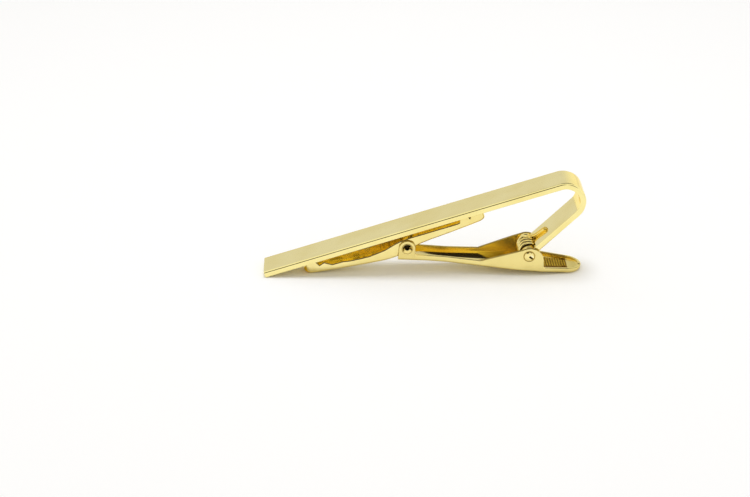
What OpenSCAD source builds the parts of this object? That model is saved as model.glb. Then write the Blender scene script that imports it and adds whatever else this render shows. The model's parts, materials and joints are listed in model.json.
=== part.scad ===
// Sprung tie clip with a rocking jaw, in the stance it takes when laid on a table.
// X runs along the clip, from the free tip of the front bar to the hook, and Z is up from the table.
// Lengths are in millimetres and angles in degrees.

/* [Front bar] */
// Straight length of the front bar, from its tip to the hook
bar_length = 52.9; // [50:0.1:56]
// Width of the strip that the bar is rolled from
bar_width = 6; // [5:0.1:7]
// Thickness of the strip
bar_thickness = 1.05; // [0.9:0.05:1.2]
// Chamfer along the long edges of the show face
bar_bevel = 0.18; // [0.05:0.01:0.25]

/* [Hook] */
// Inner radius of the hook
hook_radius = 2.5; // [2.2:0.1:2.8]
// Angle between the return leg and the front bar
leg_angle = 27; // [24:0.5:30]
// Length of the return leg, from the hook to the hinge pin
leg_length = 11; // [10.5:0.1:11.5]
// How far the leg's mid-plane passes from the pin's axis
leg_offset = 0.2; // [0:0.05:0.3]
// Outer radius of the knuckles at the leg's end
knuckle_radius = 1.4; // [1.2:0.05:1.5]

/* [Lever] */
// Distance along the lever between its two pins
lever_reach = 20.93; // [20.5:0.1:21.5]
// How far the jaw pin lies below the hinge pin, square to the lever
jaw_pin_drop = 0.84; // [0.6:0.02:1]
// Depth of the lever's underside below the hinge pin
lever_depth = 2.92; // [2.8:0.02:3.1]
// Length of the flat underside behind the hinge pin
tail_length = 7.6; // [7.2:0.1:8]
// Length of the turned-up nose beyond it
nose_length = 2; // [1.7:0.1:2.2]
// How far the thumb tail is set over toward the front side
tail_set = 0.3; // [0:0.05:0.4]
// Thickness of the lever's sheet
lever_sheet = 0.5; // [0.4:0.05:0.55]
// How much narrower than the main ears the thumb tail is, on each side
tail_inset = 0.78; // [0.6:0.02:1]
// Height of the low side walls
wall_height = 1.07; // [0.95:0.01:1.2]
// Height of the rim round the thumb tail
rim_height = 0.88; // [0.75:0.01:1]
// Radius of the front ears
front_ear_radius = 1.4; // [1.3:0.02:1.5]
// Radius of the main ears' round top
main_ear_radius = 2.38; // [2.3:0.02:2.5]
// Number of ribs across the thumb tail
rib_count = 9; // [6:1:10]
// Width of the ribbed panel, as a share of the inside of the tail
rib_width_share = 0.56; // [0.4:0.02:0.8]
// Height of a rib
rib_height = 0.14; // [0.05:0.01:0.2]

/* [Jaw] */
// Length of the jaw in front of its pin
jaw_front = 18.2; // [17.6:0.1:18.6]
// Length of the jaw behind its pin
jaw_back = 14.3; // [13.5:0.1:15]
// Depth of the jaw below the bar at its deepest
jaw_depth = 3.95; // [3.8:0.05:4]
// How far the jaw pin lies below the jaw's gripping edges
jaw_rise = 2.7; // [2.5:0.05:2.9]
// Outer width of the jaw
jaw_width = 3.46; // [3.2:0.02:3.8]
// Play of the jaw between the front ears, on each side
jaw_play = 0.05; // [0.03:0.01:0.1]
// Thickness of the jaw's sheet
jaw_sheet = 0.42; // [0.35:0.01:0.5]
// Gap left between the closed jaw and the bar
jaw_gap = 0.03; // [0.02:0.01:0.06]

/* [Pins] */
// Diameter of the hinge pin
hinge_pin_diameter = 1.2; // [1:0.05:1.4]
// Diameter of the hinge pin's heads
hinge_head_diameter = 1.94; // [1.8:0.02:2.2]
// Thickness of the hinge pin's heads
hinge_head_height = 0.25; // [0.15:0.01:0.35]
// Diameter of the hollow jaw pin
jaw_pin_diameter = 1.2; // [1.1:0.05:1.3]
// Diameter of the jaw pin's rolled rims
jaw_head_diameter = 1.7; // [1.6:0.05:1.8]
// Thickness of the jaw pin's rolled rims
jaw_head_height = 0.1; // [0.06:0.01:0.15]
// Radial clearance of a hole that turns on a pin
running_clearance = 0.04; // [0.02:0.01:0.08]

/* [Spring] */
// Diameter of the spring wire
wire_diameter = 0.5; // [0.4:0.02:0.52]
// Diameter of the coil, measured to the middle of the wire
coil_diameter = 3; // [2.6:0.1:3.1]
// Distance from one turn of the coil to the next
coil_pitch = 0.97; // [0.96:0.01:0.98]
// How far the coil sits over toward the front side
coil_set = 0.28; // [0.1:0.02:0.3]
// Whole turns of the coil, on top of the part turn between its arms
coil_turns = 3; // [2:1:3]
// Length of the arm that lies along the return leg, from the hinge pin
leg_arm_length = 4.4; // [4:0.1:5]
// Length of the arm that bears on the lever's floor, from the hinge pin
floor_arm_length = 2.4; // [2.2:0.1:2.8]

/* [Hidden] */
$fn = 64;

// The overrun of every cut, and the clearances that follow the pin's.
overrun = bar_thickness;
side_clearance = 2 * running_clearance;
coil_clearance = 5 * running_clearance;
hook_hole_clearance = 3 * running_clearance;
wire_gap = jaw_gap;

// A point of a side view, turned by an angle from X towards Z.
function turned(p, angle) = [p[0] * cos(angle) - p[1] * sin(angle), p[0] * sin(angle) + p[1] * cos(angle)];

// The hook as it lies along the front bar, counted from the hinge pin.
leg_inner = leg_offset - bar_thickness / 2;
hook_place = turned([leg_length, hook_radius - leg_inner], leg_angle);
bar_lift = hook_place[1] + hook_radius;

// The closed jaw lies along the bar, which sets the angle between the bar and the lever.
closed_angle = asin((bar_lift - jaw_rise - jaw_gap) / norm([lever_reach, jaw_pin_drop]))
    + atan2(jaw_pin_drop, lever_reach);

// The clip lies on the bar's tip and on the bend under the lever's nose, which sets the bar's slope.
nose_rise_angle = 20;
nose_bend = nose_length / sin(nose_rise_angle);
nose_centre = [tail_length, nose_bend - lever_depth];
tip_to_nose = turned(nose_centre, -closed_angle) - [hook_place[0] - bar_length, bar_lift];
bar_slope = asin(nose_bend / norm(tip_to_nose)) - atan2(tip_to_nose[1], tip_to_nose[0]);
lever_tilt = closed_angle - bar_slope;
leg_slope = bar_slope + leg_angle;

// Directions along the bar and the leg, each with its outward normal.
bar_run = [cos(bar_slope), sin(bar_slope)];
bar_normal = [-sin(bar_slope), cos(bar_slope)];
leg_run = [cos(leg_slope), sin(leg_slope)];
leg_normal = [sin(leg_slope), -cos(leg_slope)];

// The bar's side view in X and Z, counted from the hinge pin.
hook_centre = turned(hook_place, bar_slope);
bar_tip = hook_centre + bar_normal * hook_radius - bar_run * bar_length;
hook_sweep = 180 - leg_angle;
seam_angle = 1;
pin_height = -bar_tip[1];
clip_left = bar_tip[0] - bar_thickness * sin(bar_slope);
clip_right = hook_centre[0] + hook_radius + bar_thickness;
pin_x = -(clip_left + clip_right) / 2;

// The lever's main ears straddle the strip, and its front ears the jaw.
front_width = jaw_width + 2 * (jaw_play + lever_sheet);
ear_inner_width = bar_width + 2 * side_clearance;
ear_width = ear_inner_width + 2 * lever_sheet;
tail_width = ear_width - 2 * tail_inset;
ear_centre_share = [0.1, -0.416];
ear_centre = ear_centre_share * main_ear_radius;
front_ear_front = -lever_reach - front_ear_radius;
front_ear_back = -lever_reach + front_ear_radius;
waist_share = 0.62;
knee_share = 0.387;
dip_share = 0.84;
dip_depth_share = 0.07;
front_dip = lever_depth * dip_depth_share;
setback_share = 0.46;
floor_setback = front_ear_radius * setback_share;
wall_foot = front_ear_front * waist_share;
wall_knee = -lever_reach * knee_share;
dip_start = -lever_reach * dip_share;
flare_share = 1.5;
flare_end = -knuckle_radius * flare_share;
rim_start = ear_centre[0] + main_ear_radius;
nose_steps = 6;
tail_centre = tail_length + nose_length - tail_width / 2;
slice_share = 0.02;
rib_zone = [rim_start + lever_sheet, tail_length - lever_sheet];
rib_fill_share = 0.5;

// The jaw pin's place, counted from the hinge pin, and the jaw's hub round it.
jaw_axis = turned([-lever_reach, -jaw_pin_drop], -lever_tilt);
hub_wall = jaw_sheet;
hub_radius = jaw_pin_diameter / 2 + running_clearance + hub_wall;
hub_share = 0.8;

// The jaw's outline, front and back of its pin: shares of its length and of its depth below the bar.
front_top_share = [[1, 0.36], [0.992, 0.33], [0.918, 0], [0.89, 0], [0.847, 0.352], [0.797, 0.276],
    [0.727, 0.481], [0.623, 0.491], [0.557, 0.547], [0.46, 0.59], [0.363, 0.61], [0.26, 0.562],
    [0.21, 0.535], [0.155, 0.466], [0.1, 0.395], [0.05, 0.35]];
front_bottom_share = [[0.11, 0.985], [0.17, 1], [0.24, 1], [0.385, 0.93], [0.58, 0.825], [0.77, 0.705],
    [0.9, 0.62], [0.94, 0.585], [0.975, 0.53], [0.992, 0.48], [1, 0.43]];
back_top_share = [[0.07, 0.314], [0.66, 0.314], [0.695, 0.29], [0.725, 0], [0.79, 0], [0.825, 0.253],
    [0.865, 0], [1, 0]];
back_bottom_share = [[1, 0.4], [0.93, 0.49], [0.8, 0.535], [0.54, 0.612], [0.29, 0.668], [0.16, 0.72],
    [0.07, 0.8]];
nose_radius_share = 0.32;
heel_radius_share = 0.2;
jaw_nose_radius = jaw_width * nose_radius_share;
jaw_heel_radius = jaw_width * heel_radius_share;

// The hollow in each end of the jaw pin, and the slot in the hinge pin's heads.
hollow_radius_share = 0.75;
hollow_depth_share = 0.67;
slot_width_share = 0.1;
slot_depth_share = 0.5;
dome_share = 0.45;
slot_angle = 35;

// The spring's angles, seen from the front: where its arms leave the coil.
coil_radius = coil_diameter / 2;
wire_radius = wire_diameter / 2;
sides = 6;
rings_per_turn = 8;
wire_lift = wire_radius + wire_gap;
arm_bend_share = 0.52;
arm_offset = leg_inner - wire_lift;
arm_bend = leg_run * leg_arm_length * arm_bend_share + leg_normal * arm_offset;
arm_end = leg_run * leg_arm_length + leg_normal * arm_offset;
arm_leave = atan2(arm_bend[1], arm_bend[0]) + acos(coil_radius / norm(arm_bend));
floor_end = turned([floor_arm_length, lever_sheet + wire_lift - lever_depth], -lever_tilt);
floor_leave = atan2(floor_end[1], floor_end[0]) - acos(coil_radius / norm(floor_end));
part_turn = (floor_leave - arm_leave + 720) % 360;
coil_angle = part_turn + 360 * coil_turns;
coil_width = coil_pitch * coil_angle / 360;
coil_room = coil_width + wire_diameter + 2 * (coil_set + running_clearance);
coil_start = -coil_width / 2 - coil_set;
coil_end = coil_start + coil_width;
arm_place_share = 0.09;
arm_place = (bar_width / 2) * arm_place_share;
arm_steps = 4;
tip_depth_share = 0.9;
hole_radius = wire_radius + hook_hole_clearance;
tip_length = wire_lift + bar_thickness * tip_depth_share;
tip_bend_share = 0.7;
tip_bend = wire_diameter * tip_bend_share;

// A point of a share table, as a place in the jaw's side view.
function jaw_point(share, reach) = [share[0] * reach, jaw_rise - share[1] * jaw_depth];

module at_pin() { translate([pin_x, 0, pin_height]) children(); }

module lever_frame() { at_pin() rotate([0, lever_tilt, 0]) children(); }

module jaw_frame() {
    at_pin() translate([jaw_axis[0], 0, jaw_axis[1]]) rotate([0, -bar_slope, 0]) children();
}

// Stands a side view up in the XZ plane, with the given width across the clip.
module across(width) { rotate([90, 0, 0]) linear_extrude(width, center = true) children(); }

// A round bar along Y.
module cross_pin(radius, length) { rotate([90, 0, 0]) cylinder(r = radius, h = length, center = true); }

// The strip's section, its inner face on the axis, chamfered along the show face.
module strip_section() {
    half = bar_width / 2;
    polygon([[0, -half], [bar_thickness - bar_bevel, -half], [bar_thickness, -half + bar_bevel],
             [bar_thickness, half - bar_bevel], [bar_thickness - bar_bevel, half], [0, half]]);
}

module front_plate() {
    start = hook_centre + bar_normal * hook_radius;
    translate([start[0], 0, start[1]]) rotate([0, -90 - bar_slope, 0])
        linear_extrude(bar_length) strip_section();
}

// The bend runs a little way into the straights, so that the three are one piece of metal.
module hook() {
    translate([hook_centre[0], 0, hook_centre[1]]) rotate([90, 0, 0])
        rotate([0, 0, leg_slope - 90 - seam_angle]) rotate_extrude(angle = hook_sweep + 2 * seam_angle)
        translate([hook_radius, 0]) strip_section();
}

module return_leg() {
    start = leg_run * leg_length + leg_normal * leg_inner;
    translate([start[0], 0, start[1]]) rotate([0, -90 - leg_slope, 0])
        linear_extrude(leg_length) mirror([1, 0]) strip_section();
}

// The gap between the knuckles, cut back far enough to clear the coil.
module coil_gap() {
    reach = coil_radius + wire_radius + coil_clearance;
    below = knuckle_radius + overrun;
    rotate([0, 90 - leg_slope, 0]) translate([0, 0, (reach - below) / 2])
        cube([2 * below, coil_room, reach + below], center = true);
}

// The hole that holds the turned-in tip of the spring.
module spring_hole() {
    centre = leg_run * leg_arm_length;
    translate([centre[0], arm_place, centre[1]]) rotate([0, -leg_slope, 0])
        cylinder(r = hole_radius, h = 2 * (bar_thickness + overrun), center = true);
}

module front_bar() {
    color("gold") at_pin() difference() {
        union() {
            front_plate();
            hook();
            return_leg();
            cross_pin(knuckle_radius, bar_width);
        }
        coil_gap();
        spring_hole();
        cross_pin(hinge_pin_diameter / 2 + running_clearance, bar_width + overrun);
    }
}

// The turned-up nose of the lever's floor, as points on an arc of the given radius.
function nose_arc(radius) = [for (i = [0 : nose_steps])
    nose_centre + radius * [sin(nose_rise_angle * i / nose_steps), -cos(nose_rise_angle * i / nose_steps)]];

// The line of the lever's floor behind its front dip, lifted off its underside.
function floor_line(lift) = concat([[dip_start, lift - lever_depth]], nose_arc(nose_bend - lift));

module lever_side() {
    knee = [wall_knee, wall_height - lever_depth];
    away = knee - ear_centre;
    touch = atan2(away[1], away[0]) - acos(main_ear_radius / norm(away));
    tangent = ear_centre + main_ear_radius * [cos(touch), sin(touch)];
    rim = rim_height - lever_depth;
    nose_top = nose_arc(nose_bend - lever_sheet)[nose_steps];
    polygon(concat([[front_ear_front, -lever_depth - front_dip]], floor_line(0), [nose_top, [rim_start, rim],
        [rim_start, ear_centre[1]], ear_centre, tangent, knee,
        [front_ear_back, knee[1]], [front_ear_back, -jaw_pin_drop], [front_ear_front, -jaw_pin_drop]]));
    intersection() {
        translate(ear_centre) circle(main_ear_radius);
        translate([0, main_ear_radius - lever_depth]) square(2 * main_ear_radius, center = true);
    }
    translate([-lever_reach, -jaw_pin_drop]) circle(front_ear_radius);
}

// The lever's inner walls in plan, open at the front.
module lever_plan() {
    front = front_width / 2 - lever_sheet;
    ear = ear_width / 2 - lever_sheet;
    open_end = front_ear_front - overrun;
    translate([open_end, -front]) square([wall_foot - open_end, 2 * front]);
    hull() {
        translate([wall_foot, -front]) square([flare_end - wall_foot, 2 * front]);
        translate([flare_end, -ear]) square([rim_start - flare_end, 2 * ear]);
        translate([tail_centre, -tail_set]) circle(tail_width / 2 - lever_sheet, $fn = 48);
    }
}

// A thin slice across the lever, its foot rounded as the folded sheet is.
module lever_slice(x, width, drop) {
    foot = lever_sheet - lever_depth - drop;
    translate([x, 0, 0]) rotate([90, 0, 90]) linear_extrude(lever_sheet * slice_share, center = true) {
        translate([-width / 2, foot]) square([width, 2 * lever_depth]);
        for (side = [-1, 1]) translate([side * (width / 2 - lever_sheet), foot]) circle(lever_sheet, $fn = 24);
    }
}

// The lever's outer walls and round folds, taller than its side view.
module lever_outside() {
    foot = lever_sheet - lever_depth;
    hull() {
        lever_slice(front_ear_front, front_width, front_dip);
        lever_slice(dip_start, front_width, 0);
    }
    hull() {
        lever_slice(dip_start, front_width, 0);
        lever_slice(wall_foot, front_width, 0);
    }
    hull() {
        lever_slice(wall_foot, front_width, 0);
        lever_slice(flare_end, ear_width, 0);
        lever_slice(rim_start, ear_width, 0);
        translate([tail_centre, -tail_set, foot]) {
            cylinder(r = tail_width / 2, h = 2 * lever_depth, $fn = 48);
            rotate_extrude($fn = 48) translate([tail_width / 2 - lever_sheet, 0]) circle(lever_sheet, $fn = 24);
        }
    }
}

// The lever's inside. Its floor stops short of the front ears, to let the jaw swing.
module lever_hollow() {
    lid = main_ear_radius + overrun;
    mouth = front_ear_front + floor_setback;
    intersection() {
        across(ear_width) polygon(concat(
            [[mouth - overrun, -2 * lever_depth], [mouth, -2 * lever_depth],
             [mouth, lever_sheet - lever_depth - front_dip]],
            floor_line(lever_sheet), [[tail_length + nose_length, lid], [mouth - overrun, lid]]));
        linear_extrude(4 * lever_depth, center = true) lever_plan();
    }
}

// Ribs pressed up across the thumb tail, and the grooves that they leave underneath.
module tail_ribs(height) {
    pitch = (rib_zone[1] - rib_zone[0]) / rib_count;
    for (i = [0 : rib_count - 1]) {
        x = rib_zone[0] + pitch * (i + 0.5);
        taper = min((x - rim_start) / (tail_centre - rim_start), 1);
        width = ear_width + (tail_width - ear_width) * taper - 2 * lever_sheet;
        translate([x, -tail_set * taper, 0])
            cube([pitch * rib_fill_share, width * rib_width_share, 2 * height], center = true);
    }
}

module lever() {
    color("goldenrod") lever_frame() difference() {
        union() {
            difference() {
                intersection() {
                    across(ear_width) lever_side();
                    lever_outside();
                }
                lever_hollow();
            }
            translate([0, 0, lever_sheet - lever_depth]) tail_ribs(rib_height);
        }
        translate([0, 0, -lever_depth]) tail_ribs(rib_height);
        cross_pin(hinge_pin_diameter / 2, ear_width + overrun);
        translate([-lever_reach, 0, -jaw_pin_drop]) cross_pin(jaw_pin_diameter / 2, ear_width + overrun);
    }
}

// The jaw's side view between its floor line, lifted by the given amount, and its toothed edge.
module jaw_side(lift, top) {
    front_low = [for (s = front_bottom_share) jaw_point(s, -jaw_front) + [0, lift]];
    back_low = [for (s = back_bottom_share) jaw_point(s, jaw_back) + [0, lift]];
    front_high = [for (s = front_top_share) jaw_point(s, -jaw_front) + [0, top]];
    back_high = [for (s = back_top_share) jaw_point(s, jaw_back) + [0, top]];
    polygon(concat(front_high, back_high, back_low, [[0, lift - hub_radius * hub_share]], front_low));
}

// The jaw's plan, with a round nose and heel, drawn in by an inset.
module jaw_plan(inset) {
    half = jaw_width / 2 - inset;
    nose = jaw_nose_radius - inset;
    heel = jaw_heel_radius - inset;
    front = inset - jaw_front;
    back = jaw_back - inset;
    translate([front + nose, -half]) square([back - heel - front - nose, 2 * half]);
    translate([front, nose - half]) square([back - front, 2 * (half - max(nose, heel))]);
    translate([back - heel - overrun, heel - half]) square([heel + overrun, 2 * (half - heel)]);
    for (side = [-1, 1]) {
        translate([front + nose, side * (half - nose)]) circle(nose);
        translate([back - heel, side * (half - heel)]) circle(heel);
    }
}

module jaw() {
    color("khaki") jaw_frame() difference() {
        intersection() {
            union() {
                across(jaw_width) jaw_side(0, 0);
                cross_pin(hub_radius, jaw_width);
            }
            linear_extrude(4 * jaw_depth, center = true) jaw_plan(0);
        }
        intersection() {
            across(jaw_width) jaw_side(jaw_sheet, jaw_depth);
            linear_extrude(4 * jaw_depth, center = true) jaw_plan(jaw_sheet);
        }
        cross_pin(jaw_pin_diameter / 2 + running_clearance, jaw_width + overrun);
    }
}

// A low domed head, standing on the ear's face.
module domed_head() {
    rise = hinge_head_height * dome_share;
    crown = (pow(hinge_head_diameter / 2, 2) + pow(rise, 2)) / (2 * rise);
    rotate_extrude() intersection() {
        square([hinge_head_diameter / 2, hinge_head_height]);
        translate([0, hinge_head_height - crown]) circle(crown, $fn = 360);
    }
}

// A rolled rim round the mouth of the hollow pin.
module rolled_rim() {
    bore = jaw_pin_diameter / 2 * hollow_radius_share;
    half = (jaw_head_diameter / 2 - bore) / 2;
    round = (pow(half, 2) + pow(jaw_head_height, 2)) / (2 * jaw_head_height);
    rotate_extrude() intersection() {
        translate([bore, 0]) square([2 * half, jaw_head_height]);
        translate([bore + half, jaw_head_height - round]) circle(round);
    }
}

// Sets a head on both ends of a pin of the given length.
module both_ends(length) {
    for (side = [-1, 1]) rotate([-90 * side, 0, 0]) translate([0, 0, length / 2]) children();
}

// A slot from the middle of a head to its rim, as the rolled pin's seam shows.
module head_slot(side) {
    face = ear_width / 2 + hinge_head_height;
    translate([0, side * face, 0]) rotate([0, slot_angle, 0]) translate([hinge_head_diameter / 2, 0, 0])
        cube([hinge_head_diameter, 2 * hinge_head_height * slot_depth_share,
              hinge_head_diameter * slot_width_share], center = true);
}

module hinge_pin() {
    color("darkgoldenrod") lever_frame() difference() {
        union() {
            cross_pin(hinge_pin_diameter / 2, ear_width + hinge_head_height);
            both_ends(ear_width) domed_head();
        }
        for (side = [-1, 1]) head_slot(side);
    }
}

module jaw_pin() {
    hollow = jaw_pin_diameter * hollow_depth_share;
    color("darkgoldenrod") lever_frame() translate([-lever_reach, 0, -jaw_pin_drop]) {
        difference() {
            cross_pin(jaw_pin_diameter / 2, front_width);
            both_ends(front_width)
                cylinder(r = jaw_pin_diameter / 2 * hollow_radius_share, h = 2 * hollow, center = true);
        }
        both_ends(front_width) rolled_rim();
    }
}

// The points of a straight arm, without its last one, and without its first where that is drawn already.
function between(a, b) = [for (i = [(a == floor_path ? 0 : 1) : arm_steps - 1]) a + (b - a) * i / arm_steps];

// The wire's middle line, from the tip on the lever's floor, round the coil, to the tip in the leg.
coil_steps = ceil(coil_angle / 360 * rings_per_turn);
tip_turn = [for (a = [0, 30, 60, 90]) arm_end + tip_bend * (leg_normal * (1 - cos(a)) + leg_run * (sin(a) - 1))];
tip_end = arm_end + leg_normal * tip_length;
coil_path = [for (i = [0 : coil_steps]) let (a = floor_leave - coil_angle * i / coil_steps)
    [coil_radius * cos(a), coil_start + coil_width * i / coil_steps, coil_radius * sin(a)]];
floor_path = [floor_end[0], coil_start, floor_end[1]];
bend_path = [arm_bend[0], coil_end, arm_bend[1]];
tip_path = [for (p = concat(tip_turn, [tip_end])) [p[0], arm_place, p[1]]];
wire_path = concat(between(floor_path, coil_path[0]), coil_path, between(coil_path[coil_steps], bend_path),
    [bend_path], between(bend_path, tip_path[0]), tip_path);

function unit(v) = v / norm(v);
function heading(path, i) = let (last = len(path) - 1)
    unit(unit(path[min(i + 1, last)] - path[min(i, last - 1)]) + unit(path[max(i, 1)] - path[max(i - 1, 0)]));

module swept_wire(path) {
    count = len(path);
    points = [for (i = [0 : count - 1]) let (t = heading(path, i), u = unit(cross([0, 1, 0], t)), v = cross(t, u))
        for (k = [0 : sides - 1]) path[i] + wire_radius * (u * cos(360 * k / sides) + v * sin(360 * k / sides))];
    side_faces = [for (i = [0 : count - 2], k = [0 : sides - 1])
        let (a = i * sides + k, b = i * sides + (k + 1) % sides)
        each [[a, a + sides, b], [b, a + sides, b + sides]]];
    caps = [for (k = [1 : sides - 2]) each [[0, k, k + 1],
        [(count - 1) * sides, (count - 1) * sides + k + 1, (count - 1) * sides + k]]];
    polyhedron(points, concat(side_faces, caps));
}

// The least gap from the wire to itself, measured on points half a turn apart or more.
wire_end = len(wire_path) - 1;
half_turn = rings_per_turn / 2;
least_gap = min([for (i = [0 : wire_end - half_turn], j = [i + half_turn : wire_end])
    norm(wire_path[i] - wire_path[j])]) - wire_diameter;

module torsion_spring() {
    echo(str("least gap from the spring wire to itself: ", least_gap, " mm"));
    color("gold") at_pin() swept_wire(wire_path);
}

front_bar();
lever();
jaw();
hinge_pin();
jaw_pin();
torsion_spring();
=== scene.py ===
import bpy
import bmesh
import json
from math import acos, asin, atan2, cos, pi, radians, sin, sqrt, tan
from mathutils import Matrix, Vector


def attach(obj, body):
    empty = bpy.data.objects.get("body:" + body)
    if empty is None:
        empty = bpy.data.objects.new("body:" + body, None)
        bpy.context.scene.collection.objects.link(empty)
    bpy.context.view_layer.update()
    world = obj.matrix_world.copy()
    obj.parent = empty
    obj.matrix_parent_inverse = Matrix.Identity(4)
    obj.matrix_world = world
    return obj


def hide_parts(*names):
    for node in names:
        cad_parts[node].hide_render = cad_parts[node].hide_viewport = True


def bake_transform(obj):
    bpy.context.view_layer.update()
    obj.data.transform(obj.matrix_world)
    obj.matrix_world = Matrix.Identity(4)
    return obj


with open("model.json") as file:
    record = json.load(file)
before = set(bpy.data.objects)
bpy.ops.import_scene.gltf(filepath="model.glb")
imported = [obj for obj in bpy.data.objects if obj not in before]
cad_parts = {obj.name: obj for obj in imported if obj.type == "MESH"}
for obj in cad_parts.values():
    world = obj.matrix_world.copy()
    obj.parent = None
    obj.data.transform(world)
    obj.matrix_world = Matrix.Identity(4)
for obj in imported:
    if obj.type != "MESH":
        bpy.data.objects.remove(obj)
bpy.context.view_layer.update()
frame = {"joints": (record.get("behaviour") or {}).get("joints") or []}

# The view of the photograph, fitted to the clip as it lies on its table
view = {
    "place": (-0.017359, -0.288540, 0.141570),
    "turn": (64.495, 0.0, -1.799),
    "lens": 88.75,
    "sensor": 36.0,
    "nearest": 0.005,
    "farthest": 10,
}


def addCamera():
    bpy.ops.object.camera_add(location=view["place"], rotation=[radians(angle) for angle in view["turn"]])
    camera = bpy.context.object
    camera.name = "photoCamera"
    camera.data.lens = view["lens"]
    camera.data.sensor_width = view["sensor"]
    camera.data.clip_start = view["nearest"]
    camera.data.clip_end = view["farthest"]
    bpy.context.scene.camera = camera


addCamera()
bpy.context.scene.view_settings.view_transform = "Standard"
print("camera placed")

# Table, sky and lamp. The sky is a little warm and the lamp a little cool, so the paper is white
# and the shadow is warm.
studio = {
    "tableSize": 1.6,
    "tableColor": (0.985, 0.985, 0.98),
    "tableRoughness": 0.75,
    "tableShine": 0.15,
    "white": (1, 1, 1),
    "skyStrength": 0.70,
    "skyColor": (1.0, 0.965, 0.89),
    "lampPlace": (0.0, 0.05, 0.5),
    "lampSize": 0.21,
    "lampPower": 0.9,
    "lampColor": (1.0, 1.055, 1.19),
}

# What polished metal mirrors is white, but for a grey wall behind, a dark panel above that wall,
# and two brown panels in front, which draw the dark line along the bar's rounded edge
surround = [
    {"toward": (-0.30, 0.93, 0.22), "inner": 18, "outer": 44, "color": (0.74, 0.76, 0.95)},
    {"toward": (0.16, 0.61, 0.775), "inner": 22, "outer": 26, "color": (0.02, 0.015, 0.01)},
    {"toward": (-0.22, -0.86, 0.46), "inner": 18, "outer": 24, "color": (0.07, 0.055, 0.03)},
    {"toward": (0.42, -0.82, 0.38), "inner": 11, "outer": 16, "color": (0.07, 0.055, 0.03)},
]


def addTable():
    bpy.ops.mesh.primitive_plane_add(size=studio["tableSize"], location=(0, 0, 0))
    table = bpy.context.object
    table.name = "table"
    paper = bpy.data.materials.new("whiteTable")
    paper.use_nodes = True
    shader = paper.node_tree.nodes["Principled BSDF"]
    shader.inputs["Base Color"].default_value = (*studio["tableColor"], 1)
    shader.inputs["Roughness"].default_value = studio["tableRoughness"]
    shader.inputs["Specular IOR Level"].default_value = studio["tableShine"]
    table.data.materials.append(paper)


def addNode(tree, kind, **settings):
    node = tree.nodes.new(kind)
    for name, value in settings.items():
        setattr(node, name, value)
    return node


def addBackground(tree, color, strength=1):
    light = addNode(tree, "ShaderNodeBackground")
    light.inputs["Color"].default_value = (*color, 1)
    light.inputs["Strength"].default_value = strength
    return light


def mixLights(tree, share, first, second):
    mix = addNode(tree, "ShaderNodeMixShader")
    for source, socket in zip((share, first, second), mix.inputs):
        tree.links.new(source, socket)
    return mix.outputs[0]


def addSky():
    world = bpy.data.worlds.new("studioSky")
    bpy.context.scene.world = world
    world.use_nodes = True
    tree = world.node_tree
    tree.nodes.clear()
    link = tree.links.new
    direction = addNode(tree, "ShaderNodeTexCoord").outputs["Generated"]
    shade = None
    for panel in surround:
        facing = addNode(tree, "ShaderNodeVectorMath", operation="DOT_PRODUCT")
        facing.inputs[1].default_value = Vector(panel["toward"]).normalized()
        link(direction, facing.inputs[0])
        edge = addNode(tree, "ShaderNodeMapRange", interpolation_type="SMOOTHSTEP")
        edge.inputs["From Min"].default_value = cos(radians(panel["outer"]))
        edge.inputs["From Max"].default_value = cos(radians(panel["inner"]))
        link(facing.outputs["Value"], edge.inputs["Value"])
        paint = addNode(tree, "ShaderNodeMix", data_type="RGBA")
        paint.inputs["A"].default_value = (*studio["white"], 1)
        paint.inputs["B"].default_value = (*panel["color"], 1)
        link(edge.outputs["Result"], paint.inputs["Factor"])
        if shade:
            link(shade, paint.inputs["A"])
        shade = paint.outputs["Result"]
    # mirrors see the panels, the camera and clear things see plain white, and all else gets the soft sky
    mirrored = addBackground(tree, studio["white"])
    link(shade, mirrored.inputs["Color"])
    soft = addBackground(tree, studio["skyColor"], studio["skyStrength"])
    plain = addBackground(tree, studio["white"])
    path = addNode(tree, "ShaderNodeLightPath").outputs
    straight = addNode(tree, "ShaderNodeMath", operation="MAXIMUM")
    link(path["Is Camera Ray"], straight.inputs[0])
    link(path["Is Transmission Ray"], straight.inputs[1])
    lit = mixLights(tree, path["Is Glossy Ray"], soft.outputs[0], mirrored.outputs[0])
    seen = mixLights(tree, straight.outputs[0], lit, plain.outputs[0])
    link(seen, addNode(tree, "ShaderNodeOutputWorld").inputs["Surface"])


def addLamp():
    bpy.ops.object.light_add(type="AREA", location=studio["lampPlace"])
    lamp = bpy.context.object
    lamp.name = "softLamp"
    lamp.data.shape = "DISK"
    lamp.data.size = studio["lampSize"]
    lamp.data.energy = studio["lampPower"]
    lamp.data.color = studio["lampColor"]
    lamp.visible_glossy = False
    lamp.rotation_euler = (-Vector(studio["lampPlace"])).to_track_quat("-Z", "Y").to_euler()


addTable()
addSky()
addLamp()
print("table, sky and lamp ready")

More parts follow.
